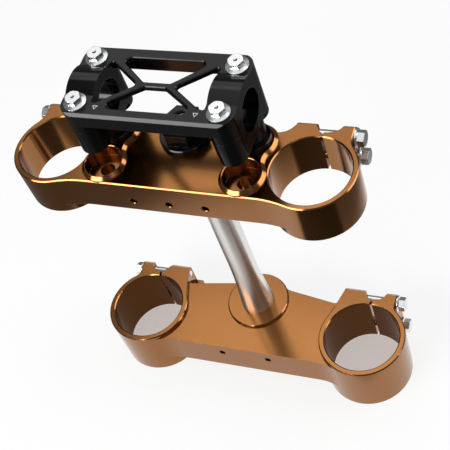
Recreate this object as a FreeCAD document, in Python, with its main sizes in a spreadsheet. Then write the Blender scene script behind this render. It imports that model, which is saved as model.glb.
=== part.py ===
import FreeCAD, Part
import math
import os
import re
import Sketcher
from FreeCAD import Placement, Rotation, Vector

# Motorcycle triple clamp, in millimetres. The origin is on the steering axis, level with the bottoms
# of the lower fork rings. +X is the side of the right-hand fork in a view from the front, -Y is ahead
# and +Z is up along the stem.

SIZES = {
    # Fork positions, shared by both clamps
    "fork_spacing": 188,
    "fork_offset": 20.4,
    "slit_width": 1.9,
    "edge_break": 0.8,
    # Lower clamp
    "lower_bore_radius": 30,
    "lower_ring_wall": 4.7,
    "lower_ring_depth": 48.6,
    "lower_web_bottom": 15,
    "lower_web_top": 45.5,
    "lower_front_reach": 47.4,
    "lower_front_blend": 40,
    "lower_back_reach": 7.2,
    "lower_back_crown": 16.8,
    "lower_crown_half": 6,
    "lower_boss_radius": 25.7,
    "lower_boss_rise": 2.5,
    "lower_boss_blend": 8,
    "lower_ear_reach": 23.5,
    "lower_ear_outer": 19.6,
    "lower_ear_blend": 6,
    "lower_foot_blend": 4,
    "lower_ear_inner": 24,
    "lower_ear_foot": 27.5,
    "lower_ear_flank": 33,
    "lower_notch_inner": 7,
    "lower_notch_outer": 10.6,
    "lower_bolt_reach": 18,
    "lower_bolt_margin": 7.4,
    "lower_plate_hole_spacing": 40,
    "lower_plate_hole_drop": 10,
    "stop_inner": 62,
    "stop_width": 9,
    "stop_reach": 21,
    "stop_top": 30,
    # Upper clamp
    "upper_clamp_height": 228.8,
    "upper_bore_radius": 27.5,
    "upper_ring_wall": 4.1,
    "upper_ring_depth": 33.9,
    "upper_web_depth": 27.2,
    "upper_front_reach": 47.3,
    "upper_front_blend": 80,
    "upper_back_reach": 8.6,
    "upper_boss_radius": 23,
    "upper_boss_blend": 6,
    "upper_seat_wall": 0.6,
    "upper_ear_reach": 20,
    "upper_ear_outer": 20.6,
    "upper_ear_blend": 18,
    "upper_foot_blend": 12,
    "upper_ear_inner": 19.3,
    "upper_ear_foot": 24.7,
    "upper_ear_flank": 28,
    "upper_notch_inner": 5.7,
    "upper_notch_outer": 12.5,
    "upper_bolt_reach": 14.5,
    "upper_bolt_margin": 7.6,
    "upper_plate_hole_spacing": 53.4,
    "upper_plate_hole_shift": 1.9,
    "upper_plate_hole_drop": 17.7,
    # Both clamps
    "ear_bevel": 3,
    "ear_sink": 0.3,
    "ear_root": 5,
    "notch_shoulder": 3,
    "notch_root": 1.5,
    "notch_step": 0.6,
    "notch_curve": 9,
    # Seats of the handlebar mounts on the upper clamp
    "mount_spacing": 101.4,
    "mount_front": 31,
    "mount_rear": 2.5,
    "seat_radius": 16.1,
    "seat_rise": 3,
    "seat_bevel": 2.2,
    "seat_waist_blend": 9.7,
    "socket_radius": 13.2,
    "socket_depth": 10,
    "hole_break": 0.4,
    "mount_hole_radius": 5.25,
    # Steering stem and nut
    "stem_foot_radius": 13.2,
    "stem_foot_height": 52,
    "stem_radius": 10.5,
    "stem_bore_radius": 7.5,
    "stem_straight_height": 110,
    "stem_thread_radius": 10,
    "stem_thread_reach": 11,
    "nut_flange_radius": 18.5,
    "nut_flange_depth": 3.3,
    "nut_corner_radius": 16,
    "nut_height": 13.3,
    # Handlebar clamp
    "bar_radius": 14.3,
    "bar_ahead": 9.4,
    "bar_rise": 42.1,
    "bar_bolt_spacing": 39,
    "bar_bolt_across": 100,
    "clamp_corner_radius": 10.3,
    "clamp_top_rise": 18.2,
    "clamp_crest_radius": 22.2,
    "clamp_split_gap": 0.4,
    "bridge_frame_depth": 11.5,
    "bridge_front_rail": 7.7,
    "bridge_rear_rail": 7.8,
    "bridge_web_depth": 3.8,
    "bridge_front_bevel": 1.9,
    "bridge_edge_break": 0.7,
    "window_corner_radius": 2.5,
    "side_corner_run": 5,
    "rear_corner_run": 8.9,
    "front_corner_run": 12,
    "truss_bar_rear": 7.4,
    "truss_bar_front": 11.5,
    "rear_window_wide": 67.4,
    "rear_window_narrow": 19.3,
    "front_window_wide": 72.4,
    "front_window_narrow": 14.8,
    "side_window_apex": 13,
    "side_window_ahead": 9.9,
    "side_window_rear": 10.3,
    "side_window_front": 29.4,
    "saddle_depth": 22.3,
    "rear_column_drop": 3.5,
    "mount_foot_radius": 13,
    "mount_foot_depth": 14.3,
    # Fasteners
    "pinch_thread_radius": 4,
    "pinch_flange_radius": 6.9,
    "pinch_hex_radius": 5.8,
    "pinch_head_height": 6.6,
    "bridge_flange_radius": 7.8,
    "bridge_hex_radius": 5.7,
    "bridge_head_height": 5.8,
    "hex_crown": 0.9,
    "crown_slope": 1.73,
    "bridge_bolt_length": 34,
    "flange_rim": 1.1,
    "flange_slope": 0.8,
    "mount_thread_radius": 5,
    "mount_bolt_hex_radius": 9.2,
    "mount_bolt_head_height": 6.4,
    "mount_bolt_grip": 38,
    "washer_radius": 10.5,
    "washer_depth": 2,
    "plate_thread_radius": 2.5,
    "plate_thread_depth": 14,
    "thread_spare": 2,
    "bolt_clearance": 0.4,
    "fit_clearance": 0.05,
    "overlap": 1,
}

# Places and sizes worked out from the driving sizes.
WORKED_OUT = {
    "fork_x": "fork_spacing / 2",
    "lower_ring_radius": "lower_bore_radius + lower_ring_wall",
    "lower_web_depth": "lower_web_top - lower_web_bottom",
    "lower_flank_foot": "-fork_offset + sqrt((lower_ring_radius - ear_sink)^2 - lower_ear_flank^2)",
    "upper_flank_foot": "-fork_offset + sqrt((upper_ring_radius - ear_sink)^2 - upper_ear_flank^2)",
    "upper_ring_radius": "upper_bore_radius + upper_ring_wall",
    "upper_web_bottom": "upper_ring_depth - upper_web_depth",
    "upper_web_top_height": "upper_clamp_height + upper_ring_depth",
    "mount_x": "mount_spacing / 2",
    "socket_floor": "upper_ring_depth + seat_rise - socket_depth",
    "waist_across": "sqrt((seat_radius + seat_waist_blend)^2 - ((mount_front - mount_rear) / 2)^2)",
    "waist_share": "seat_radius / (seat_radius + seat_waist_blend)",
    "bar_height": "upper_web_top_height + bar_rise",
    "mount_underside": "bar_height - saddle_depth",
    "mount_rear_underside": "mount_underside - rear_column_drop",
    "bar_bolt_x": "bar_bolt_across / 2",
    "bar_bolt_front": "bar_ahead + bar_bolt_spacing / 2",
    "bar_bolt_rear": "bar_bolt_spacing / 2 - bar_ahead",
    "bridge_top": "bar_height + clamp_top_rise",
    "bridge_front": "bar_bolt_front + clamp_corner_radius",
    "bridge_rear": "bar_bolt_rear + clamp_corner_radius",
    "cap_inner": "bar_bolt_x - clamp_corner_radius",
    "split_top": "bar_height + clamp_split_gap / 2",
    "split_bottom": "bar_height - clamp_split_gap / 2",
    "pinch_hole_radius": "pinch_thread_radius + fit_clearance",
}

TOUCH = 0.01    # distance under which two places count as one

doc = FreeCAD.newDocument("triple_clamp")
sheet = doc.addObject("Spreadsheet::Sheet", "Sizes")
for row, (alias, number) in enumerate(SIZES.items(), start=1):
    sheet.set(f"A{row}", alias)
    sheet.set(f"B{row}", str(number))
    sheet.setAlias(f"B{row}", alias)
doc.recompute()


def formula(text):
    """The text with worked-out sizes written out and driving sizes read from the sheet."""
    def written_out(match):
        word = match.group(0)
        if word in WORKED_OUT:
            return "(" + formula(WORKED_OUT[word]) + ")"
        return "Sizes." + word if word in SIZES else word
    return re.sub("[a-z_]+", written_out, str(text))


def value(text):
    """What a formula comes to with the sizes of the sheet."""
    return float(sheet.evalExpression(formula(text)))


def bind(thing, **formulas):
    """Ties properties of an object to formulas."""
    for name, text in formulas.items():
        thing.setExpression(name, formula(text))
    return thing


def new_body(label, height="0"):
    """A body that stands at a height."""
    body = doc.addObject("PartDesign::Body", label)
    body.Label = label
    body.setExpression(".Placement.Base.z", formula(height))
    return body


def new_sketch(body, name, plane, level):
    """An empty sketch on a level above one of the body's own origin planes."""
    planes = {feature.Role: feature for feature in body.Origin.OriginFeatures}
    sketch = body.newObject("Sketcher::SketchObject", name)
    sketch.AttachmentSupport = (planes[plane], [""])
    sketch.MapMode = "FlatFace"
    sketch.setExpression("AttachmentOffset.Base.z", formula(level))
    return sketch


def tie(sketch, kind, text, *points):
    """A measured constraint of a sketch that follows a formula."""
    number = sketch.addConstraint(Sketcher.Constraint(kind, *points, value(text)))
    sketch.setExpression(f"Constraints[{number}]", formula(text))


def tie_point(sketch, element, end, across, up):
    """Holds one point of a sketch at a place given by two formulas."""
    tie(sketch, "DistanceX", across, -1, 1, element, end)
    tie(sketch, "DistanceY", up, -1, 1, element, end)


def circles(body, name, centres, radius, plane="XY_Plane", level="0"):
    """A sketch of equal circles."""
    sketch = new_sketch(body, name, plane, level)
    for across, up in centres:
        middle = Vector(value(across), value(up), 0)
        circle = sketch.addGeometry(Part.Circle(middle, Vector(0, 0, 1), value(radius)), False)
        tie_point(sketch, circle, 3, across, up)
        tie(sketch, "Radius", radius, circle)
    return sketch


def side(start, end, radius):
    """One side of an outline: straight, or an arc with its centre on the left, or right if negative."""
    if radius == 0:
        return Part.LineSegment(start, end), (1, 2)
    half = (end - start) / 2
    left = Vector(-half.y, half.x, 0).normalize()
    rise = math.sqrt(max(radius ** 2 - half.Length ** 2, 0))
    centre = start + half + left * math.copysign(rise, radius)
    first, last = (start, end) if radius > 0 else (end, start)
    angles = [math.atan2((end_point - centre).y, (end_point - centre).x) for end_point in (first, last)]
    circle = Part.Circle(centre, Vector(0, 0, 1), abs(radius))
    return Part.ArcOfCircle(circle, *angles), (1, 2) if radius > 0 else (2, 1)


def outline(body, name, corners, plane="XY_Plane", level="0"):
    """A closed outline; a corner is (across, up) or, where an arc starts, (across, up, its radius)."""
    sketch = new_sketch(body, name, plane, level)
    places = [Vector(value(corner[0]), value(corner[1]), 0) for corner in corners]
    ends = []
    for number, corner in enumerate(corners):
        radius = value(corner[2]) if len(corner) > 2 else 0
        geometry, order = side(places[number], places[(number + 1) % len(corners)], radius)
        ends.append((sketch.addGeometry(geometry, False), order))
    for number, corner in enumerate(corners):
        element, (start, end) = ends[number]
        following, (following_start, _) = ends[(number + 1) % len(corners)]
        sketch.addConstraint(Sketcher.Constraint("Coincident", element, end, following, following_start))
        tie_point(sketch, element, start, corner[0], corner[1])
        if len(corner) > 2:
            tie(sketch, "Radius", f"abs({corner[2]})", element)
    return sketch


def mirrored(corners):
    """The same corners on the other side of the middle, in the order that keeps the outline's turn."""
    flipped = []
    for number in range(len(corners) - 1, -1, -1):
        across, up = corners[number][:2]
        arc = corners[number - 1][2:] if number > 0 else corners[-1][2:]
        flipped.append((f"-({across})", up) + tuple(arc))
    return flipped


def grow(body, sketch, length):
    """Adds the sketch's outline as a solid of this length above it."""
    feature = body.newObject("PartDesign::Pad", sketch.Name + "_pad")
    feature.Profile = sketch
    return finish_step(bind(feature, Length=length), sketch)


def cut(body, sketch, length, reverse=False):
    """Takes the sketch's outline away, below it or, reversed, above it."""
    feature = body.newObject("PartDesign::Pocket", sketch.Name + "_pocket")
    feature.Profile = sketch
    feature.Reversed = reverse
    return finish_step(bind(feature, Length=length), sketch)


def finish_step(feature, sketch=None):
    """Works out a step of a body and checks that it changed the solid."""
    doc.recompute()
    before = feature.BaseFeature.Shape.Volume if feature.BaseFeature else 0
    if abs(feature.Shape.Volume - before) < TOUCH:
        raise RuntimeError(feature.Label + " changes nothing")
    if len(feature.Shape.Solids) != 1 or not feature.Shape.isValid():
        raise RuntimeError(feature.Label + " doesn't leave one sound solid")
    return feature


def edges_where(feature, test):
    """Names of the edges of a step whose middle and ends pass a test."""
    names = []
    for number, edge in enumerate(feature.Shape.Edges, start=1):
        middle = edge.valueAt((edge.FirstParameter + edge.LastParameter) / 2)
        if test(edge, middle):
            names.append(f"Edge{number}")
    if not names:
        raise RuntimeError("no edge found after " + feature.Label)
    return names


def soften(body, kind, size, test):
    """A fillet or chamfer on the edges that pass a test."""
    base = body.Tip
    feature = body.newObject("PartDesign::" + kind, body.Label + "_" + kind.lower())
    feature.Base = (base, edges_where(base, test))
    bind(feature, **{"Radius" if kind == "Fillet" else "Size": size})
    return finish_step(feature)


def upright(edge):
    """Whether an edge is straight and vertical."""
    return isinstance(edge.Curve, Part.Line) and abs(edge.tangentAt(edge.FirstParameter).z) > 0.999


def is_round(edge, radius):
    """Whether an edge is a circle or an arc of this radius."""
    return isinstance(edge.Curve, Part.Circle) and abs(edge.Curve.Radius - radius) < TOUCH


def level_with(height):
    """A test for edges that lie flat at a height."""
    def test(edge, middle):
        box = edge.BoundBox
        return max(abs(box.ZMin - value(height)), abs(box.ZMax - value(height))) < TOUCH
    return test


def both_sides(across):
    """A formula for the right side and its opposite for the left."""
    return (("right", across), ("left", f"-({across})"))


def bevel_along(body, name, edge, inward, top, size, half_width):
    """Takes the upper corner off an edge that runs from side to side; inward is 1 to the rear or -1."""
    outside = f"{edge} - {inward} * overlap"
    corners = [
        (outside, f"{top} + overlap"),
        (outside, f"{top} - {size} - overlap"),
        (f"{edge} + {inward} * ({size} + overlap)", f"{top} + overlap"),
    ]
    cut(body, outline(body, name, corners, "YZ_Plane", half_width), f"2 * {half_width}")


def ears(body, clamp, depth):
    """The two slit ears behind each fork ring; corners are measured from the fork axis."""
    back = f"{clamp}_ear_reach"
    ring_back = f"{clamp}_ring_radius - fork_offset"
    inner = [
        (f"fork_x - {clamp}_ear_inner", back),
        (f"fork_x - {clamp}_ear_inner", f"{back} - ear_bevel"),
        (f"fork_x - {clamp}_ear_foot", f"{clamp}_back_reach"),
        (f"fork_x - {clamp}_ear_flank", f"{clamp}_flank_foot"),
        (f"fork_x - {clamp}_ear_outer", "-fork_offset + ear_root"),
        ("fork_x - notch_root", f"{ring_back} - 2 * notch_root"),
        ("fork_x - notch_root", f"{ring_back} - notch_step"),
        (f"fork_x - {clamp}_notch_inner", f"{back} - notch_shoulder"),
        (f"fork_x - {clamp}_notch_inner", back),
    ]
    outer = [
        (f"fork_x + {clamp}_ear_outer", back),
        (f"fork_x + {clamp}_notch_outer", back),
        (f"fork_x + {clamp}_notch_outer", f"{back} - notch_shoulder", "-notch_curve"),
        (f"fork_x + {clamp}_notch_outer / 2", f"{ring_back} + notch_step"),
        ("fork_x + notch_root / 2", f"{ring_back} - notch_step"),
        ("fork_x + notch_root / 2", f"{ring_back} - 2 * notch_root"),
        (f"fork_x + {clamp}_ear_outer", "-fork_offset + ear_root"),
    ]
    for name, corners in (("inner", inner), ("outer", outer)):
        grow(body, outline(body, f"{clamp}_{name}_ear_right", corners), depth)
        grow(body, outline(body, f"{clamp}_{name}_ear_left", mirrored(corners)), depth)
    flank, foot = value(f"fork_x + {clamp}_ear_outer"), value(f"fork_x - {clamp}_ear_foot")
    reach, web_back = value(f"{back} - ear_bevel"), value(f"{clamp}_back_reach")
    web_depth, near = value(f"{clamp}_web_depth"), value("overlap")

    def outer_foot(edge, middle):
        return upright(edge) and abs(abs(middle.x) - flank) < TOUCH and middle.y < reach

    def inner_foot(edge, middle):
        at_foot = math.hypot(abs(middle.x) - foot, middle.y - web_back) < near
        return upright(edge) and at_foot and abs(edge.Length - web_depth) < TOUCH
    soften(body, "Fillet", f"{clamp}_ear_blend", outer_foot)
    soften(body, "Fillet", f"{clamp}_foot_blend", inner_foot)
    bevel_along(body, f"{clamp}_ear_bevel", back, "(-1)", depth, "ear_bevel",
                f"(fork_x + {clamp}_ear_outer + overlap)")


def rim_edge(clamp, height):
    """A test for the long edges round the top of rings and web, without the notches and bevelled ears."""
    fork, back = value("fork_x"), value(f"{clamp}_ear_reach - ear_bevel")
    notch_low = value(f"{clamp}_ring_radius - fork_offset - notch_shoulder")
    notch_sides = value(f"-{clamp}_notch_inner - overlap"), value(f"{clamp}_notch_outer + overlap")
    at_top = level_with(height)

    def test(edge, middle):
        beside = abs(middle.x) - fork
        in_notch = middle.y > notch_low and notch_sides[0] < beside < notch_sides[1]
        return at_top(edge, middle) and not in_notch and middle.y < back - TOUCH
    return test


def web_outline(body, clamp, level, back):
    """The web between the forks: its front runs into each ring in a wide tangent curve."""
    ring = f"{clamp}_ring_radius"
    reach = f"{clamp}_front_reach"
    blend = f"{clamp}_front_blend"
    start = f"(fork_x - sqrt(({ring} + {blend})^2 - ({reach} - fork_offset + {blend})^2))"
    share = f"({ring} / ({ring} + {blend}))"
    half = [
        (start, f"-{reach}", f"-{blend}"),
        (f"fork_x - (fork_x - {start}) * {share}",
         f"-fork_offset - ({reach} - fork_offset + {blend}) * {share}"),
        ("fork_x", "-fork_offset"),
    ]
    right = half + back
    return outline(body, f"{clamp}_web", right + mirrored(right), level=level)


def fork_bores(body, clamp, depth):
    """Bores, slits and pinch bolt holes of both fork rings."""
    centres = [("fork_x", "-fork_offset"), ("-fork_x", "-fork_offset")]
    cut(body, circles(body, f"{clamp}_fork_bore", centres, f"{clamp}_bore_radius"), depth, True)
    at_top, bore = level_with(depth), value(f"{clamp}_bore_radius")
    soften(body, "Chamfer", "edge_break", lambda edge, middle: at_top(edge, middle) and is_round(edge, bore))
    for name, across in both_sides("fork_x"):
        half = "slit_width / 2"
        corners = [
            (f"{across} - {half}", "-fork_offset"),
            (f"{across} + {half}", "-fork_offset"),
            (f"{across} + {half}", f"{clamp}_ear_reach"),
            (f"{across} - {half}", f"{clamp}_ear_reach"),
        ]
        cut(body, outline(body, f"{clamp}_slit_{name}", corners), depth, True)
    length = f"{clamp}_ear_outer + {clamp}_ear_inner + 2 * edge_break"
    for name, level in both_sides(f"fork_x - {clamp}_ear_inner - edge_break"):
        sketch = circles(body, f"{clamp}_pinch_hole_{name}", pinch_places(clamp, depth),
                         "pinch_hole_radius", "YZ_Plane", level)
        cut(body, sketch, length, name == "right")


def pinch_places(clamp, depth):
    """Where both pinch bolts of an ear pass, seen from the side."""
    heights = (f"{clamp}_bolt_margin", f"{depth} - {clamp}_bolt_margin")
    return [(f"{clamp}_bolt_reach", height) for height in heights]


def front_holes(body, clamp, places, height):
    """Threaded holes in the front face for a number plate or hose guide."""
    level = f"{clamp}_front_reach"
    sketch = circles(body, f"{clamp}_plate_hole", [(place, height) for place in places],
                     "plate_thread_radius", "XZ_Plane", level)
    cut(body, sketch, "plate_thread_depth")
    face, thread = value(f"-{level}"), value("plate_thread_radius")
    soften(body, "Chamfer", "hole_break",
           lambda edge, middle: is_round(edge, thread) and abs(edge.BoundBox.YMax - face) < TOUCH)


def boss_corner(radius):
    """A test for the upright corners where a round boss meets the back of the web."""
    def test(edge, middle):
        return upright(edge) and middle.y > 0 and abs(math.hypot(middle.x, middle.y) - value(radius)) < TOUCH
    return test


def make_lower_clamp():
    """Lower yoke: web, two deep rings with slit ears, a raised round stem boss and two steering stops."""
    body = new_body("lower_clamp")
    back = [("fork_x - lower_ear_foot + overlap", "lower_back_reach"),
            ("lower_crown_half", "lower_back_crown")]
    grow(body, web_outline(body, "lower", "lower_web_bottom", back), "lower_web_depth")
    forks = [("fork_x", "-fork_offset"), ("-fork_x", "-fork_offset")]
    grow(body, circles(body, "lower_rings", forks, "lower_ring_radius"), "lower_ring_depth")
    ears(body, "lower", "lower_ring_depth")
    soften(body, "Chamfer", "edge_break", rim_edge("lower", "lower_ring_depth"))
    boss = circles(body, "lower_boss", [("0", "0")], "lower_boss_radius", level="lower_web_bottom")
    grow(body, boss, "lower_web_depth + lower_boss_rise")
    soften(body, "Fillet", "lower_boss_blend", boss_corner("lower_boss_radius"))
    soften(body, "Chamfer", "edge_break", level_with("lower_web_top + lower_boss_rise"))
    for name, across in both_sides("stop_inner + stop_width / 2"):
        corners = [
            (f"{across} - stop_width / 2", "0"),
            (f"{across} + stop_width / 2", "0"),
            (f"{across} + stop_width / 2", "stop_reach"),
            (f"{across} - stop_width / 2", "stop_reach"),
        ]
        stop = outline(body, f"steering_stop_{name}", corners, level="lower_web_bottom")
        grow(body, stop, "stop_top - lower_web_bottom")
    fork_bores(body, "lower", "lower_ring_depth")
    bore = circles(body, "stem_seat", [("0", "0")], "stem_foot_radius + fit_clearance")
    cut(body, bore, "lower_ring_depth + lower_boss_rise", True)
    places = ["lower_plate_hole_spacing / 2", "-lower_plate_hole_spacing / 2"]
    front_holes(body, "lower", places, "lower_web_top - lower_plate_hole_drop")
    return body


def seat_outline(body, name, across, level):
    """The raised figure-eight seat for both handlebar mount places of one side."""
    run = "waist_share * waist_across"
    rise = "waist_share * (mount_front - mount_rear) / 2"
    corners = [
        (across, "-mount_front - seat_radius", "seat_radius"),
        (f"{across} + {run}", f"-mount_front + {rise}", "-seat_waist_blend"),
        (f"{across} + {run}", f"-mount_rear - {rise}", "seat_radius"),
        (across, "-mount_rear + seat_radius", "seat_radius"),
        (f"{across} - {run}", f"-mount_rear - {rise}", "-seat_waist_blend"),
        (f"{across} - {run}", f"-mount_front + {rise}", "seat_radius"),
    ]
    return outline(body, name, corners, level=level)


def make_upper_clamp():
    """Upper yoke: web and rings level on top, with raised seats for the handlebar mounts."""
    body = new_body("upper_clamp", "upper_clamp_height")
    back = [("fork_x - upper_ear_foot + overlap", "upper_back_reach")]
    grow(body, web_outline(body, "upper", "upper_web_bottom", back), "upper_web_depth")
    forks = [("fork_x", "-fork_offset"), ("-fork_x", "-fork_offset")]
    grow(body, circles(body, "upper_rings", forks, "upper_ring_radius"), "upper_ring_depth")
    ears(body, "upper", "upper_ring_depth")
    boss = circles(body, "upper_boss", [("0", "0")], "upper_boss_radius", level="upper_web_bottom")
    grow(body, boss, "upper_web_depth")
    soften(body, "Fillet", "upper_boss_blend", boss_corner("upper_boss_radius"))
    soften(body, "Chamfer", "edge_break", rim_edge("upper", "upper_ring_depth"))
    rear_seats = [("mount_x", "-mount_rear"), ("-mount_x", "-mount_rear")]
    wall = circles(body, "seat_wall", rear_seats, "seat_radius + upper_seat_wall", level="upper_web_bottom")
    grow(body, wall, "upper_web_depth")
    for name, across in both_sides("mount_x"):
        seat = seat_outline(body, f"mount_seat_{name}", across, "upper_web_bottom")
        grow(body, seat, "upper_web_depth + seat_rise")
    soften(body, "Chamfer", "seat_bevel", level_with("upper_ring_depth + seat_rise"))
    fork_bores(body, "upper", "upper_ring_depth")
    for name, level in both_sides("fork_x + upper_ear_outer"):
        spots = circles(body, f"upper_bolt_face_{name}", pinch_places("upper", "upper_ring_depth"),
                        "pinch_flange_radius + bolt_clearance", "YZ_Plane", level)
        cut(body, spots, "overlap", name == "right")
    rows = ("-mount_front", "-mount_rear")
    places = [(across, along) for across in ("mount_x", "-mount_x") for along in rows]
    sockets = circles(body, "mount_socket", places, "socket_radius", level="socket_floor")
    cut(body, sockets, "socket_depth", True)
    seat_top, socket = level_with("upper_ring_depth + seat_rise"), value("socket_radius")
    soften(body, "Chamfer", "hole_break",
           lambda edge, middle: seat_top(edge, middle) and is_round(edge, socket))
    cut(body, circles(body, "mount_hole", places, "mount_hole_radius"), "upper_ring_depth", True)
    bore = circles(body, "stem_hole", [("0", "0")], "stem_radius + fit_clearance")
    cut(body, bore, "upper_ring_depth", True)
    places = [f"{step} * upper_plate_hole_spacing / 2 - upper_plate_hole_shift" for step in (-1, 0, 1)]
    front_holes(body, "upper", places, "upper_ring_depth - upper_plate_hole_drop")
    return body


def make_stem():
    """Steering stem: hollow, thick at its foot, drawn in by a long curve, and threaded at the top."""
    body = new_body("steering_stem")
    taper = "(stem_foot_radius - stem_radius)"
    run = "(stem_straight_height - stem_foot_height)"
    corners = [
        ("stem_bore_radius", "lower_web_bottom"),
        ("stem_foot_radius", "lower_web_bottom"),
        ("stem_foot_radius", "stem_foot_height", f"-({run}^2 + {taper}^2) / (2 * {taper})"),
        ("stem_radius", "stem_straight_height"),
        ("stem_radius", "upper_web_top_height"),
        ("stem_thread_radius", "upper_web_top_height"),
        ("stem_thread_radius", "upper_web_top_height + stem_thread_reach"),
        ("stem_bore_radius", "upper_web_top_height + stem_thread_reach"),
    ]
    sketch = outline(body, "stem_profile", corners, "XZ_Plane")
    turn = body.newObject("PartDesign::Revolution", "stem_turning")
    turn.Profile = sketch
    turn.ReferenceAxis = (sketch, ["V_Axis"])
    turn.Angle = 360
    finish_step(turn)
    foot, end = level_with("lower_web_bottom"), level_with("upper_web_top_height + stem_thread_reach")
    soften(body, "Chamfer", "edge_break",
           lambda edge, middle: edge.Closed and (foot(edge, middle) or end(edge, middle)))
    return body


def make_stem_nut():
    """Black nut with a wide flange and a six-sided head."""
    body = new_body("stem_nut", "upper_web_top_height")
    grow(body, circles(body, "nut_flange", [("0", "0")], "nut_flange_radius"), "nut_flange_depth")
    soften(body, "Chamfer", "edge_break", level_with("nut_flange_depth"))
    corners = [(f"nut_corner_radius * cos({60 * turn})", f"nut_corner_radius * sin({60 * turn})")
               for turn in range(6)]
    grow(body, outline(body, "nut_hexagon", corners), "nut_height")
    bore = circles(body, "nut_thread", [("0", "0")], "stem_thread_radius + fit_clearance")
    cut(body, bore, "nut_height", True)
    return body


def bridge_outline(body, name, level):
    """The bridge from above: a rectangle whose corners are round about the four bolts."""
    across = "(bar_bolt_x + clamp_corner_radius)"
    corners = [
        ("-bar_bolt_x", "-bridge_front"),
        ("bar_bolt_x", "-bridge_front", "clamp_corner_radius"),
        (across, "-bar_bolt_front"),
        (across, "bar_bolt_rear", "clamp_corner_radius"),
        ("bar_bolt_x", "bridge_rear"),
        ("-bar_bolt_x", "bridge_rear", "clamp_corner_radius"),
        (f"-{across}", "bar_bolt_rear"),
        (f"-{across}", "-bar_bolt_front", "clamp_corner_radius"),
    ]
    return outline(body, name, corners, level=level)


def block(body, name, low_x, high_x, low_y, high_y, level, length):
    """A straight-sided pad between four lines."""
    corners = [(low_x, low_y), (high_x, low_y), (high_x, high_y), (low_x, high_y)]
    return grow(body, outline(body, name, corners, level=level), length)


def make_bridge():
    """Both handlebar caps in one piece, joined by a frame and a truss over the nut."""
    body = new_body("bar_clamp_bridge")
    grow(body, bridge_outline(body, "bridge_plate", "bridge_top - bridge_web_depth"), "bridge_web_depth")
    frame_level = "bridge_top - bridge_frame_depth"
    for name, low_y, high_y in (("front", "-bridge_front", "-bridge_front + bridge_front_rail"),
                                ("rear", "bridge_rear - bridge_rear_rail", "bridge_rear")):
        block(body, f"bridge_rail_{name}", "-bar_bolt_x", "bar_bolt_x", low_y, high_y, frame_level,
              "bridge_frame_depth")
    windows(body)
    cap_depth = "bridge_top - split_top"
    for name, across in both_sides("bar_bolt_x"):
        stadium(body, f"bridge_cap_{name}", across, "split_top", cap_depth)
    crest = "sqrt(clamp_crest_radius^2 - (clamp_top_rise - overlap)^2)"
    low = "bridge_top - overlap"
    for name, level in (("right", "cap_inner"), ("left", "-(cap_inner + 2 * clamp_corner_radius)")):
        corners = [(f"-bar_ahead - {crest}", low), (f"-bar_ahead + {crest}", low, "clamp_crest_radius")]
        arch = outline(body, f"bridge_crest_{name}", corners, "YZ_Plane", level)
        grow(body, arch, "2 * clamp_corner_radius")
    bolts = [(x, y) for x in ("bar_bolt_x", "-bar_bolt_x") for y in ("-bar_bolt_front", "bar_bolt_rear")]
    faces = circles(body, "bolt_face", bolts, "bridge_flange_radius + bolt_clearance", level="bridge_top")
    cut(body, faces, "clamp_crest_radius - clamp_top_rise", True)
    end = "(bar_bolt_x + 2 * clamp_corner_radius)"
    bar = circles(body, "bar_bore", [("-bar_ahead", "bar_height")], "bar_radius", "YZ_Plane", end)
    cut(body, bar, f"2 * {end}")
    bevel_along(body, "front_bevel", "-bridge_front", "1", "bridge_top", "bridge_front_bevel", end)
    bevel_along(body, "rear_bevel", "bridge_rear", "(-1)", "bridge_top", "bridge_edge_break", end)
    clearance = "pinch_thread_radius + bolt_clearance"
    cut(body, circles(body, "bridge_bolt_hole", bolts, clearance, level="split_top"), cap_depth, True)
    return body


def rounded(before, corner, after, run):
    """A corner of an outline as an arc that starts and ends at a distance from it."""
    def away(other):
        across, up = f"({other[0]} - ({corner[0]}))", f"({other[1]} - ({corner[1]}))"
        return across, up, f"sqrt({across}^2 + {up}^2)"
    first, last = away(before), away(after)
    ends = [tuple(f"{corner[axis]} + {run} * {way[axis]} / {way[2]}" for axis in (0, 1))
            for way in (first, last)]
    cosine = f"(({first[0]} * {last[0]} + {first[1]} * {last[1]}) / ({first[2]} * {last[2]}))"
    return [ends[0] + (f"{run} * sqrt((1 - {cosine}) / (1 + {cosine}))",), ends[1]]


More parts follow.
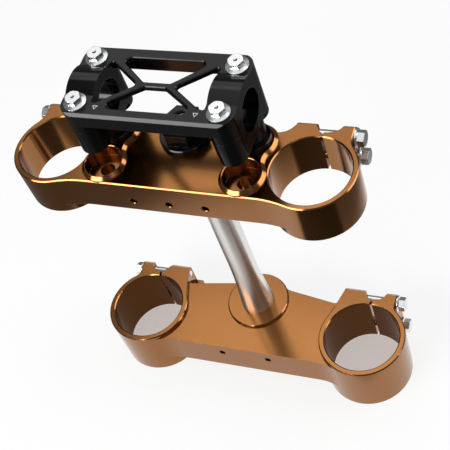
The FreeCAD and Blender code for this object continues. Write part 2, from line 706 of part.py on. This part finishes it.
def windows(body):
    """Four windows that leave a middle bar and four arms as a truss."""
    web = "bridge_top - bridge_web_depth"
    rear_rail = "bridge_rear - bridge_rear_rail"
    front_rail = "-bridge_front + bridge_front_rail"
    rear = [("-rear_window_narrow / 2", "-truss_bar_rear"), ("rear_window_narrow / 2", "-truss_bar_rear"),
            ("rear_window_wide / 2", rear_rail), ("-rear_window_wide / 2", rear_rail)]
    front = [("-front_window_wide / 2", front_rail), ("front_window_wide / 2", front_rail),
             ("front_window_narrow / 2", "-truss_bar_front"),
             ("-front_window_narrow / 2", "-truss_bar_front")]
    beside = [("side_window_apex", "-side_window_ahead"), ("cap_inner", "-side_window_front"),
              ("cap_inner", "side_window_rear")]
    side = [beside[0]] + rounded(*beside, "side_corner_run")
    side += rounded(beside[1], beside[2], beside[0], "side_corner_run")
    shapes = {
        "rear": rear[:2] + rounded(*rear[1:], "rear_corner_run")
                + rounded(rear[2], rear[3], rear[0], "rear_corner_run"),
        "front": rounded(front[3], front[0], front[1], "front_corner_run")
                 + rounded(*front[:3], "front_corner_run") + front[2:],
        "right": side,
        "left": mirrored(side),
    }
    for name, corners in shapes.items():
        cut(body, outline(body, f"window_{name}", corners, level=web), "bridge_web_depth", True)
    narrow = [rear[0], rear[1], front[2], front[3], beside[0]]
    places = [(abs(value(across)), value(along)) for across, along in narrow]

    def narrow_end(edge, middle):
        gaps = [math.hypot(abs(middle.x) - across, middle.y - along) for across, along in places]
        return upright(edge) and min(gaps) < TOUCH
    soften(body, "Fillet", "window_corner_radius", narrow_end)
    at_top, cap = level_with("bridge_top"), value("cap_inner")
    low, high = value("-bridge_front + overlap"), value("bridge_rear - overlap")

    def window_edge(edge, middle):
        return at_top(edge, middle) and abs(middle.x) < cap - TOUCH and low < middle.y < high
    soften(body, "Chamfer", "bridge_edge_break", window_edge)


def stadium(body, name, across, level, length):
    """A pad round about a front and a rear clamp bolt, with straight sides between."""
    reach = "clamp_corner_radius"
    corners = [
        (f"{across} + {reach}", "-bar_bolt_front"),
        (f"{across} + {reach}", "bar_bolt_rear", reach),
        (f"{across}", f"bar_bolt_rear + {reach}", reach),
        (f"{across} - {reach}", "bar_bolt_rear"),
        (f"{across} - {reach}", "-bar_bolt_front", reach),
        (f"{across}", f"-bar_bolt_front - {reach}", reach),
    ]
    return grow(body, outline(body, name, corners, level=level), length)


def make_mount(side_name, sign):
    """Lower half of a handlebar clamp: two columns, a saddle and a round foot in the yoke's socket."""
    body = new_body(f"bar_mount_{side_name}")
    name = f"mount_{side_name}"
    across = f"{sign}bar_bolt_x"
    foot_centre = [(f"{sign}mount_x", "-mount_rear")]
    foot_bottom = "(upper_clamp_height + socket_floor)"
    stadium(body, f"{name}_saddle", across, "mount_underside", "split_bottom - mount_underside")
    soften(body, "Chamfer", "edge_break", level_with("mount_underside"))
    rear = circles(body, f"{name}_column", [(across, "bar_bolt_rear")], "clamp_corner_radius",
                   level="mount_rear_underside")
    grow(body, rear, "mount_underside - mount_rear_underside + overlap")
    neck = circles(body, f"{name}_neck", foot_centre, "clamp_corner_radius", level=foot_bottom)
    grow(body, neck, f"mount_underside - {foot_bottom} + overlap")
    foot = circles(body, f"{name}_foot", foot_centre, "mount_foot_radius", level=foot_bottom)
    grow(body, foot, "mount_foot_depth")
    foot_top, rim = level_with(f"{foot_bottom} + mount_foot_depth"), value("mount_foot_radius")
    soften(body, "Chamfer", "edge_break", lambda edge, middle: foot_top(edge, middle) and is_round(edge, rim))
    bar = circles(body, f"{name}_bar_bore", [("-bar_ahead", "bar_height")], "bar_radius", "YZ_Plane",
                  f"{across} - 2 * clamp_corner_radius")
    cut(body, bar, "4 * clamp_corner_radius", True)
    bolts = [(across, "-bar_bolt_front"), (across, "bar_bolt_rear")]
    threads = circles(body, f"{name}_thread", bolts, "pinch_hole_radius", level="split_bottom")
    cut(body, threads, "bridge_bolt_length - clamp_top_rise + thread_spare")
    base = circles(body, f"{name}_base_thread", foot_centre, "mount_thread_radius + fit_clearance",
                   level=foot_bottom)
    cut(body, base, "mount_bolt_grip - washer_depth - (socket_floor - upper_web_bottom) + thread_spare", True)
    return body


def primitive(kind, name, **formulas):
    """A simple solid with its sizes tied to the sheet."""
    solid = doc.addObject("Part::" + kind, name)
    places = {key: formulas.pop(key) for key in list(formulas) if key.startswith("at_")}
    for key, text in places.items():
        solid.setExpression(".Placement.Base." + key[-1], formula(text))
    return bind(solid, **formulas)


def make_bolt(label, thread, flange, hexagon, head, length, place, turn):
    """A bolt with its head up from zero and its shank down, then turned and put in its place."""
    parts = [primitive("Cylinder", label + "_shank", Radius=thread, Height=length, at_z=f"-({length})")]
    crown = f"{hexagon} * hex_crown"
    if flange:
        parts.append(primitive("Cylinder", label + "_flange", Radius=flange, Height="flange_rim"))
        parts.append(primitive("Cone", label + "_flange_slope", Radius1=flange, Radius2=crown,
                               Height="flange_slope", at_z="flange_rim"))
    prism = primitive("Prism", label + "_hexagon", Circumradius=hexagon, Height=head)
    prism.Polygon = 6
    bevel = primitive("Cone", label + "_bevel", Radius1=f"{crown} + {head} * crown_slope", Radius2=crown,
                      Height=head)
    capped = doc.addObject("Part::Common", label + "_head")
    capped.Base = prism
    capped.Tool = bevel
    parts.append(capped)
    whole = doc.addObject("Part::MultiFuse", label)
    whole.Shapes = parts
    whole.Label = label
    whole.Placement = Placement(Vector(), turn)
    for axis, text in zip("xyz", place):
        whole.setExpression(".Placement.Base." + axis, formula(text))
    return whole


def make_bolts():
    """Clamp bolts with flanged heads, and the bolts and washers that hold the mounts from below."""
    made = []
    sideways = {"right": Rotation(Vector(0, 1, 0), 90), "left": Rotation(Vector(0, 1, 0), -90)}
    pinch = ("pinch_thread_radius", "pinch_flange_radius", "pinch_hex_radius", "pinch_head_height")
    for clamp, base in (("upper", "upper_clamp_height"), ("lower", "0")):
        heights = (("high", f"{base} + {clamp}_ring_depth - {clamp}_bolt_margin"),
                   ("low", f"{base} + {clamp}_bolt_margin"))
        for side_name, across in both_sides(f"fork_x + {clamp}_ear_outer"):
            for level_name, height in heights:
                made.append(make_bolt(f"{clamp}_pinch_bolt_{side_name}_{level_name}", *pinch,
                                      f"{clamp}_ear_outer + {clamp}_ear_inner",
                                      (across, f"{clamp}_bolt_reach", height), sideways[side_name]))
    bridge = ("pinch_thread_radius", "bridge_flange_radius", "bridge_hex_radius", "bridge_head_height")
    for end_name, along in (("front", "-bar_bolt_front"), ("rear", "bar_bolt_rear")):
        for side_name, across in both_sides("bar_bolt_x"):
            made.append(make_bolt(f"bridge_bolt_{end_name}_{side_name}", *bridge, "bridge_bolt_length",
                                  (across, along, "bridge_top"), Rotation()))
    under = "upper_clamp_height + upper_web_bottom"
    for side_name, across in both_sides("mount_x"):
        made.append(make_bolt(f"mount_bolt_{side_name}", "mount_thread_radius", None, "mount_bolt_hex_radius",
                              "mount_bolt_head_height", "mount_bolt_grip",
                              (across, "-mount_rear", f"{under} - washer_depth"),
                              Rotation(Vector(1, 0, 0), 180)))
        ring = primitive("Cylinder", f"washer_disc_{side_name}", Radius="washer_radius",
                         Height="washer_depth")
        hole = primitive("Cylinder", f"washer_hole_{side_name}", Radius="mount_hole_radius",
                         Height="washer_depth")
        washer = doc.addObject("Part::Cut", f"mount_washer_{side_name}")
        washer.Base = ring
        washer.Tool = hole
        washer.Label = f"mount_washer_{side_name}"
        for axis, text in zip("xyz", (across, "-mount_rear", f"{under} - washer_depth")):
            washer.setExpression(".Placement.Base." + axis, formula(text))
        made.append(washer)
    return made


def export(pieces):
    """Writes each piece to its own file once every step has come out sound."""
    doc.recompute()
    for thing in doc.Objects:
        if {"Invalid", "Error"} & set(thing.State):
            raise RuntimeError(thing.Label + " failed")
    for piece in pieces:
        if piece.Shape.isNull() or not piece.Shape.isValid():
            raise RuntimeError(piece.Label + " has no sound shape")
    os.makedirs("parts", exist_ok=True)
    for piece in pieces:
        piece.Shape.exportStep(f"parts/{piece.Label}.step")
        print(piece.Label, len(piece.Shape.Solids), round(piece.Shape.Volume))


pieces = [make_lower_clamp(), make_upper_clamp(), make_stem(), make_stem_nut(), make_bridge()]
pieces += [make_mount("right", ""), make_mount("left", "-")]
pieces += make_bolts()
export(pieces)
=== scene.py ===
import math

import bpy
from bpy.props import FloatProperty, FloatVectorProperty, PointerProperty
from bpy.types import Operator, Panel, PropertyGroup
from mathutils import Matrix, Vector


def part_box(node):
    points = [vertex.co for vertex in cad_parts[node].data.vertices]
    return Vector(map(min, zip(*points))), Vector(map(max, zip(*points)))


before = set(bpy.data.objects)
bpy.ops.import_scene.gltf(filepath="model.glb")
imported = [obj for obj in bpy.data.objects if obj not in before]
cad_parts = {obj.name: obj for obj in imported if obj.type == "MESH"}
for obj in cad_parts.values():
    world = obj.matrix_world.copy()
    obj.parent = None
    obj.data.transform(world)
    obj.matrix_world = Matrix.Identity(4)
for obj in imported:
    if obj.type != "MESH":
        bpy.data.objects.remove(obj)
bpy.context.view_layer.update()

bl_info = {
    "name": "Triple Clamp Looks",
    "version": (1, 0, 0),
    "blender": (4, 5, 0),
    "location": "3D View > Sidebar > Triple Clamp",
    "description": "Finishes, small marks and studio for a motocross triple clamp",
    "category": "Object",
}

MM = 0.001
PLAIN_WHITE = "#FFFFFF"

# How rough each finish is, from 0 for a perfect mirror to 1 for chalk
TOP_ROUGHNESS = 0.17            # milled tops of the yokes
SIDE_ROUGHNESS = 0.13           # their polished sides
SIDE_TO_TOP = (0.2, 0.9)        # upward part of the normal where the sides end and where the tops begin
BLACK_ROUGHNESS = 0.15
STEEL_ROUGHNESS = 0.32
ZINC_ROUGHNESS = 0.25

# What else sets a finish apart
OXIDE_IOR = 1.35                # the black oxide layer is porous and partly water
STEEL_STRETCH = 0.8             # how far the stem's fine lines draw reflections out along it
ALONG_STEM = 0.25               # part of a full turn, from round the stem to along it
LINE_WOBBLE = 0.6               # how far those lines stray from true circles, in radians of their wave
WAVE_RADIANS = 20               # the wave texture turns through this angle in a metre at a scale of 1

# Depth of the relief in each finish, in millimetres
BRONZE_GRAIN = 0.002
BLACK_GRAIN = 0.001
ZINC_GRAIN = 0.002
STEEL_LINES = 0.0005
DISH_DEPTH = 0.8

# A direction mark on top of the bridge, in millimetres, and the directions that its three sides face, in
# degrees round from +X. The other mark is its mirror image.
MARK_PLACE = (35, -31, 323)
MARK_SIDES = (90, 210, 330)

# Where the fork tubes' axes meet the table, in millimetres
FORK_AXES = ((94, -20.4, 0), (-94, -20.4, 0))

# Discs of painted light and shade that shape how bright the table is: middle and radius in millimetres,
# the width of the soft edge, and the brightness inside and outside. Only reflections see the first two.
TABLE_LIGHT = ((20, -10, 0), 250, 60, 1.0, 0.13)     # a painted pool of light in the middle of the table
TABLE_SHADE = ((160, -265, 0), 187, 30, 0.04, 1.0)   # painted shade on the table ahead of the clamp, to its right
RING_SHADE = (31, 4, 0.7, 1.0)                       # painted shade inside the lower fork rings, round both FORK_AXES
RING_DEPTH = 4      # reflections see that painted shade this many times over, since they look deeper into the ring

# The camera looks at this point inside the stem, in millimetres
LOOK_AT = (-3.2, 3.36, 150)
SENSOR_WIDTH = 36       # full-frame sensor, in millimetres

# In metres
TABLE_SIZE = 6
VIEW_DEPTH = 20         # how far the camera sees

# Soft boxes: name, place and aim in metres, width and depth, and a brightness where 1 is plain white
SOFT_BOXES = (
    ("rear_soft_box", (-0.52, 1.00, 1.24), (-0.52, 1.00, 0), (1.1, 0.62), 1.1),
    ("near_soft_box", (-0.25, 0.53, 1.24), (-0.25, 0.53, 0), (0.9, 0.28), 1.85),
    ("overhead_soft_box", (0.20, -0.22, 1.24), (0.20, -0.22, 0), (1.4, 1.2), 0.8),
    ("front_soft_box", (-0.66, -1.07, 1.00), (0, 0, 0.2), (1.1, 0.45), 11.0),
    ("right_soft_box", (1.12, 0.60, 0.79), (0, 0, 0.2), (1.3, 0.6), 4.0),
)


def to_linear(colour):
    """An sRGB hex colour, such as "#9B6C47", as linear red, green, blue and alpha."""
    parts = [int(colour[place:place + 2], 16) / 255 for place in (1, 3, 5)]
    return [part / 12.92 if part <= 0.04045 else ((part + 0.055) / 1.055) ** 2.4 for part in parts] + [1.0]


def colour_setting(name, colour, description):
    """A colour property whose default is an sRGB hex value."""
    return FloatVectorProperty(name=name, description=description, subtype="COLOR", size=4, min=0, max=1,
                               default=to_linear(colour))


def length_setting(name, millimetres, description):
    """A length property given in millimetres."""
    return FloatProperty(name=name, description=description, subtype="DISTANCE", unit="LENGTH",
                         default=millimetres * MM)


def angle_setting(name, degrees, description):
    """An angle property given in degrees."""
    return FloatProperty(name=name, description=description, subtype="ANGLE", unit="ROTATION",
                         default=math.radians(degrees))


def share_setting(name, share, description):
    """A property from 0 to 1."""
    return FloatProperty(name=name, description=description, subtype="FACTOR", min=0, max=1, default=share)


class ClampFinishes(PropertyGroup):
    bronze: colour_setting("Bronze anodise", "#906138", "Dyed oxide layer on the two yokes")
    bronze_worn: colour_setting("Bronze highlights", "#99673C", "Where the oxide layer is thinner")
    black: colour_setting("Black anodise", "#070708", "Dyed oxide layer on the bar clamp and the nut")
    steel: colour_setting("Polished steel", "#EFEDEA", "Steering stem")
    zinc: colour_setting("Zinc plate", "#E2E4E5", "Bolts and washers")
    engraving: colour_setting("Engraved lines", "#E4E4E2", "Bare metal where a line cuts through the black")
    card: colour_setting("White card", "#F8F8F8", "Matt card that the clamp stands on")
    # Ring glow is painted light: a warm tint in the card's emission inside the rings, standing in for light
    # that the bronze throws there
    ring_glow: colour_setting("Ring glow", "#C98A5E", "Light from the bronze on the card in the rings")


class ClampDetails(PropertyGroup):
    # The real grain and polishing lines are about 0.1 mm wide or less, too fine to show in the render, so
    # both are drawn as coarse as they need to show.
    blast_grain: length_setting("Blasted grain", 0.35, "Size of the grain that blasting leaves")
    turning_pitch: length_setting("Turning pitch", 1.777, "Distance between the stem's polishing lines")
    dye_cloud: length_setting("Dye cloud", 60, "Width of a patch where the bronze dye is stronger")
    edge_round: length_setting("Edge rounding", 0.4, "How far the edges are rounded off by tumbling")
    mark_length: length_setting("Direction mark", 3.2, "Side of the small triangles that point ahead")
    mark_line: length_setting("Mark line", 0.35, "Width of the engraved lines")
    dish: length_setting("Head dish", 1.5, "Radius of the shallow dish in the top of a bolt's head")


class ClampStudio(PropertyGroup):
    azimuth: angle_setting("Camera azimuth", 36.67, "How far round from the front the camera stands")
    elevation: angle_setting("Camera elevation", 51.16, "How far above the table it stands")
    roll: angle_setting("Camera roll", 23.47, "How far it is tipped to one side")
    distance: length_setting("Camera distance", 838.88, "From the camera to the point that it looks at")
    focal_length: FloatProperty(name="Focal length", description="Of the lens, in millimetres",
                                unit="CAMERA", default=88.06)
    floor_white: share_setting("Floor white", 0.8, "Share of plain white in the floor")
    mirrored_white: share_setting("Mirrored white", 0.95, "The same share in reflections")
    room_light: share_setting("Room light", 0.15, "Brightness of the room round the soft boxes")


def add_node(tree, kind, inputs=None, **settings):
    """A node with its settings, and values or links on its inputs. A node there means its first output."""
    made = tree.nodes.new(kind)
    for name, value in settings.items():
        setattr(made, name, value)
    for name, value in (inputs or {}).items():
        if isinstance(value, bpy.types.Node):
            value = value.outputs[0]
        if isinstance(value, bpy.types.NodeSocket):
            tree.links.new(value, made.inputs[name])
        else:
            made.inputs[name].default_value = value
    return made


def new_material(name):
    """A material and its empty node tree."""
    material = bpy.data.materials.new(name)
    material.use_nodes = True
    material.node_tree.nodes.clear()
    return material, material.node_tree


def blasted_grain(tree, details, depth):
    """A normal with rounded edges and the fine grain that blasting leaves, to a depth in millimetres."""
    place = add_node(tree, "ShaderNodeTexCoord").outputs["Object"]
    grain = add_node(tree, "ShaderNodeTexNoise", {"Vector": place, "Scale": 1 / details.blast_grain})
    edges = add_node(tree, "ShaderNodeBevel", {"Radius": details.edge_round})
    return add_node(tree, "ShaderNodeBump", {"Height": grain.outputs["Fac"], "Strength": 1.0,
                                             "Distance": depth * MM, "Normal": edges})


def anodised_bronze(finish, details):
    """Forged and machined aluminium, fine blasted and anodised bronze: a soft satin metal shine with
    a very fine grain, a little unevenness in the dye and no visible tool marks on the flats."""
    material, tree = new_material("anodised_bronze_aluminium")
    place = add_node(tree, "ShaderNodeTexCoord").outputs["Object"]
    dye = add_node(tree, "ShaderNodeTexNoise", {"Vector": place, "Scale": 1 / details.dye_cloud})
    tone = add_node(tree, "ShaderNodeMix", {0: dye.outputs["Fac"], 6: finish.bronze, 7: finish.bronze_worn},
                    data_type="RGBA")
    normal = blasted_grain(tree, details, BRONZE_GRAIN)
    upward = add_node(tree, "ShaderNodeSeparateXYZ", {0: normal}).outputs["Z"]
    rough = add_node(tree, "ShaderNodeMapRange", {
        "Value": upward, "From Min": SIDE_TO_TOP[0], "From Max": SIDE_TO_TOP[1],
        "To Min": SIDE_ROUGHNESS, "To Max": TOP_ROUGHNESS})
    shader = add_node(tree, "ShaderNodeBsdfPrincipled", {
        "Base Color": tone.outputs[2], "Metallic": 1.0, "Roughness": rough, "Normal": normal})
    add_node(tree, "ShaderNodeOutputMaterial", {"Surface": shader})
    return material


def direction_marks(tree, details):
    """1 on the outlines of the two small triangles that point ahead, and 0 elsewhere."""
    place = add_node(tree, "ShaderNodeTexCoord").outputs["Object"]
    across, along, height = (part * MM for part in MARK_PLACE)
    marks = 0.0
    for side in (1, -1):
        spot = add_node(tree, "ShaderNodeVectorMath", {0: place, 1: (side * across, along, 0)},
                        operation="SUBTRACT")
        reach = 0.0
        for turn in MARK_SIDES:
            outward = (math.cos(math.radians(turn)), math.sin(math.radians(turn)), 0)
            away = add_node(tree, "ShaderNodeVectorMath", {0: spot, 1: outward}, operation="DOT_PRODUCT")
            reach = add_node(tree, "ShaderNodeMath", {0: away.outputs["Value"], 1: reach},
                             operation="MAXIMUM")
        line = add_node(tree, "ShaderNodeMath", {0: reach, 1: details.mark_length / (2 * math.sqrt(3)),
                                                 2: details.mark_line / 2}, operation="COMPARE")
        marks = add_node(tree, "ShaderNodeMath", {0: line, 1: marks}, operation="MAXIMUM")
    level = add_node(tree, "ShaderNodeSeparateXYZ", {0: place}).outputs["Z"]
    on_top = add_node(tree, "ShaderNodeMath", {0: level, 1: height - MM}, operation="GREATER_THAN")
    return add_node(tree, "ShaderNodeMath", {0: marks, 1: on_top}, operation="MULTIPLY")


def anodised_black(finish, details):
    """Machined aluminium anodised black: dark, with a clear satin shine from the smooth cuts, and bare
    metal where the direction marks are cut through it."""
    material, tree = new_material("anodised_black_aluminium")
    tone = add_node(tree, "ShaderNodeMix", {0: direction_marks(tree, details), 6: finish.black,
                                            7: finish.engraving}, data_type="RGBA")
    shader = add_node(tree, "ShaderNodeBsdfPrincipled", {
        "Base Color": tone.outputs[2], "Roughness": BLACK_ROUGHNESS, "IOR": OXIDE_IOR,
        "Normal": blasted_grain(tree, details, BLACK_GRAIN)})
    add_node(tree, "ShaderNodeOutputMaterial", {"Surface": shader})
    return material


def polished_steel(finish, details):
    """Ground and polished steel tube: fine lines run round it and draw its reflections out along it."""
    material, tree = new_material("polished_ground_steel")
    place = add_node(tree, "ShaderNodeTexCoord").outputs["Object"]
    lines = add_node(tree, "ShaderNodeTexWave", {
        "Vector": place, "Scale": math.tau / (WAVE_RADIANS * details.turning_pitch),
        "Distortion": LINE_WOBBLE}, bands_direction="Z")
    edges = add_node(tree, "ShaderNodeBevel", {"Radius": details.edge_round})
    normal = add_node(tree, "ShaderNodeBump", {"Height": lines.outputs["Fac"], "Strength": 1.0,
                                               "Distance": STEEL_LINES * MM, "Normal": edges})
    around = add_node(tree, "ShaderNodeTangent", direction_type="RADIAL", axis="Z")
    shader = add_node(tree, "ShaderNodeBsdfPrincipled", {
        "Base Color": finish.steel, "Metallic": 1.0, "Roughness": STEEL_ROUGHNESS,
        "Anisotropic": STEEL_STRETCH, "Anisotropic Rotation": ALONG_STEM, "Tangent": around,
        "Normal": normal})
    add_node(tree, "ShaderNodeOutputMaterial", {"Surface": shader})
    return material


def head_dishes(tree, details):
    """0 in the middle of each bridge bolt's top and 1 beyond the shallow dish there."""
    place = add_node(tree, "ShaderNodeTexCoord").outputs["Object"]
    nearest = 1.0       # metres, further than any dish reaches
    for name in nodes_like("bridge_bolt"):
        low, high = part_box(name)
        top = ((low.x + high.x) / 2, (low.y + high.y) / 2, high.z)
        away = add_node(tree, "ShaderNodeVectorMath", {0: place, 1: top}, operation="DISTANCE")
        nearest = add_node(tree, "ShaderNodeMath", {0: away.outputs["Value"], 1: nearest},
                           operation="MINIMUM")
    return add_node(tree, "ShaderNodeMapRange", {"Value": nearest, "From Max": details.dish},
                    interpolation_type="SMOOTHSTEP")


def plated_zinc(finish, details):
    """Cold-forged steel with bright zinc plate: a light, slightly soft mirror, with a shallow dish in the
    heads of the bridge bolts."""
    material, tree = new_material("zinc_plated_steel")
    normal = add_node(tree, "ShaderNodeBump", {
        "Height": head_dishes(tree, details), "Strength": 1.0, "Distance": DISH_DEPTH * MM,
        "Normal": blasted_grain(tree, details, ZINC_GRAIN)})
    shader = add_node(tree, "ShaderNodeBsdfPrincipled", {
        "Base Color": finish.zinc, "Metallic": 1.0, "Roughness": ZINC_ROUGHNESS, "Normal": normal})
    add_node(tree, "ShaderNodeOutputMaterial", {"Surface": shader})
    return material


def table_disc(tree, light, middle, radius, edge, inside, outside):
    """A brightness times one value inside a disc on the table and another outside, with a soft edge."""
    place = add_node(tree, "ShaderNodeTexCoord").outputs["Object"]
    away = add_node(tree, "ShaderNodeVectorMath", {0: place, 1: [part * MM for part in middle]},
                    operation="DISTANCE")
    change = add_node(tree, "ShaderNodeMapRange", {
        "Value": away.outputs["Value"], "From Min": (radius - edge / 2) * MM,
        "From Max": (radius + edge / 2) * MM, "To Min": inside, "To Max": outside})
    return add_node(tree, "ShaderNodeMath", {0: light, 1: change}, operation="MULTIPLY")


def pale_floor(finish, studio):
    """Matt white card: plain white to the eye, with the clamp's soft shadow, and painted shade and a painted
    warm glow inside the lower fork rings. Reflections see it white in a painted pool of light in the middle
    of the table, and darker beyond, in a painted shade ahead of the clamp and inside those rings."""
    material, tree = new_material("matt_white_card")
    path = add_node(tree, "ShaderNodeLightPath").outputs
    mirrored = add_node(tree, "ShaderNodeMath", {0: path["Is Glossy Ray"], 1: path["Is Transmission Ray"]},
                        operation="MAXIMUM")
    reflected = add_node(tree, "ShaderNodeMath", {0: mirrored, 1: studio.mirrored_white},
                         operation="MULTIPLY")
    share = add_node(tree, "ShaderNodeMix", {0: path["Is Camera Ray"], 2: reflected, 3: studio.floor_white})
    # Painted shade inside the rings, and for reflections also a painted pool of light and a painted shade
    # ahead of the clamp
    rings = 1.0
    for axis in FORK_AXES:
        rings = table_disc(tree, rings, axis, *RING_SHADE)
    lit = add_node(tree, "ShaderNodeMath", {0: rings, 1: RING_DEPTH}, operation="POWER")
    for disc in (TABLE_LIGHT, TABLE_SHADE):
        lit = table_disc(tree, lit, *disc)
    strength = add_node(tree, "ShaderNodeMix", {0: path["Is Camera Ray"], 2: lit, 3: rings})
    # Painted warm glow inside the rings, standing in for light from the bronze
    glow = add_node(tree, "ShaderNodeMix", {0: rings, 6: finish.ring_glow, 7: to_linear(PLAIN_WHITE)},
                    data_type="RGBA")
    white = add_node(tree, "ShaderNodeEmission", {"Color": glow.outputs[2], "Strength": strength})
    card = add_node(tree, "ShaderNodeBsdfDiffuse", {"Color": finish.card})
    both = add_node(tree, "ShaderNodeMixShader", {0: share, 1: card, 2: white})
    add_node(tree, "ShaderNodeOutputMaterial", {"Surface": both})
    return material


def soft_room(studio):
    """The room round the table: plain white to the eye, and a dim light on everything else."""
    world = bpy.data.worlds.new("soft_room")
    world.use_nodes = True
    tree = world.node_tree
    tree.nodes.clear()
    seen = add_node(tree, "ShaderNodeLightPath").outputs["Is Camera Ray"]
    strength = add_node(tree, "ShaderNodeMix", {0: seen, 2: studio.room_light, 3: 1.0})
    walls = add_node(tree, "ShaderNodeBackground", {"Color": to_linear(PLAIN_WHITE), "Strength": strength})
    add_node(tree, "ShaderNodeOutputWorld", {"Surface": walls})
    return world


def dress(nodes, material):
    """Gives CAD nodes a material of their own."""
    for name in nodes:
        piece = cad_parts[name]
        piece.data.materials.clear()
        piece.data.materials.append(material)


def nodes_like(*words):
    """Names of the nodes that hold one of the words."""
    return [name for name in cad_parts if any(word in name for word in words)]


class FinishYokes(Operator):
    """Bronze anodise on the upper and the lower clamp"""
    bl_idname = "triple_clamp.finish_yokes"
    bl_label = "Finish yokes"

    def execute(self, context):
        scene = context.scene
        dress(["upper_clamp", "lower_clamp"], anodised_bronze(scene.clamp_finishes, scene.clamp_details))
        return {"FINISHED"}


class FinishStem(Operator):
    """Polished steel on the steering stem"""
    bl_idname = "triple_clamp.finish_stem"
    bl_label = "Finish stem"

    def execute(self, context):
        scene = context.scene
        dress(["steering_stem"], polished_steel(scene.clamp_finishes, scene.clamp_details))
        return {"FINISHED"}


class FinishBarClamp(Operator):
    """Black anodise on the bridge, the mounts and the stem nut"""
    bl_idname = "triple_clamp.finish_bar_clamp"
    bl_label = "Finish bar clamp"

    def execute(self, context):
        scene = context.scene
        black = anodised_black(scene.clamp_finishes, scene.clamp_details)
        dress(["bar_clamp_bridge", "bar_mount_left", "bar_mount_right", "stem_nut"], black)
        return {"FINISHED"}


class FinishFasteners(Operator):
    """Zinc plate on all bolts and washers"""
    bl_idname = "triple_clamp.finish_fasteners"
    bl_label = "Finish fasteners"

    def execute(self, context):
        scene = context.scene
        dress(nodes_like("_bolt_", "washer"), plated_zinc(scene.clamp_finishes, scene.clamp_details))
        return {"FINISHED"}


def place_camera(studio):
    """A long lens that looks down on the object from its front right, tipped to one side."""
    turn, rise, roll = studio.azimuth, studio.elevation, studio.roll
    back = Vector((math.sin(turn) * math.cos(rise), -math.cos(turn) * math.cos(rise), math.sin(rise)))
    level = Vector((math.cos(turn), math.sin(turn), 0))
    upward = back.cross(level)
    right = level * math.cos(roll) - upward * math.sin(roll)
    up = level * math.sin(roll) + upward * math.cos(roll)
    data = bpy.data.cameras.new("photo_camera")
    data.sensor_width = SENSOR_WIDTH
    data.lens = studio.focal_length
    data.clip_end = VIEW_DEPTH
    camera = bpy.data.objects.new("photo_camera", data)
    bpy.context.scene.collection.objects.link(camera)
    spot = Vector(LOOK_AT) * MM + back * studio.distance
    camera.matrix_world = Matrix.Translation(spot) @ Matrix((right, up, back)).transposed().to_4x4()
    bpy.context.scene.camera = camera


def soft_box(name, spot, aim, size, brightness):
    """A rectangular soft box at a place in metres, turned to a point; 1 is as bright as the white floor."""
    data = bpy.data.lights.new(name, "AREA")
    data.shape = "RECTANGLE"
    data.size, data.size_y = size
    data.energy = brightness * math.pi * size[0] * size[1]
    lamp = bpy.data.objects.new(name, data)
    lamp.location = spot
    lamp.rotation_euler = (Vector(spot) - Vector(aim)).to_track_quat("Z", "Y").to_euler()
    bpy.context.scene.collection.objects.link(lamp)


class BuildStudio(Operator):
    """Pale floor, soft boxes and the camera"""
    bl_idname = "triple_clamp.build_studio"
    bl_label = "Build studio"

    def execute(self, context):
        scene = context.scene
        studio = scene.clamp_studio
        bpy.ops.mesh.primitive_plane_add(size=TABLE_SIZE)
        floor = context.object
        floor.name = "studio_floor"
        floor.data.materials.append(pale_floor(scene.clamp_finishes, studio))
        scene.world = soft_room(studio)
        for name, spot, aim, size, brightness in SOFT_BOXES:
            soft_box(name, spot, aim, size, brightness)
        place_camera(studio)
        scene.view_settings.view_transform = "Standard"
        return {"FINISHED"}


class TripleClampPanel(Panel):
    """Lists the steps that dress the clamp"""
    bl_idname = "VIEW3D_PT_triple_clamp"
    bl_label = "Triple clamp"
    bl_space_type = "VIEW_3D"
    bl_region_type = "UI"
    bl_category = "Triple Clamp"

    def draw(self, context):
        for step in STEPS:
            self.layout.operator(step.bl_idname)
        for group in (context.scene.clamp_finishes, context.scene.clamp_details, context.scene.clamp_studio):
            for name in group.bl_rna.properties.keys():
                if name not in ("rna_type", "name"):
                    self.layout.prop(group, name)


STEPS = (FinishYokes, FinishStem, FinishBarClamp, FinishFasteners, BuildStudio)
GROUPS = {"clamp_finishes": ClampFinishes, "clamp_details": ClampDetails, "clamp_studio": ClampStudio}


def register():
    for kind in (*GROUPS.values(), *STEPS, TripleClampPanel):
        bpy.utils.register_class(kind)
    for name, kind in GROUPS.items():
        setattr(bpy.types.Scene, name, PointerProperty(type=kind))


def unregister():
    for name in GROUPS:
        delattr(bpy.types.Scene, name)
    for kind in (TripleClampPanel, *STEPS, *GROUPS.values()):
        bpy.utils.unregister_class(kind)


def main():
    register()
    for step in STEPS:
        area, name = step.bl_idname.split(".")
        getattr(getattr(bpy.ops, area), name)()


if __name__ == "__main__":
    main()
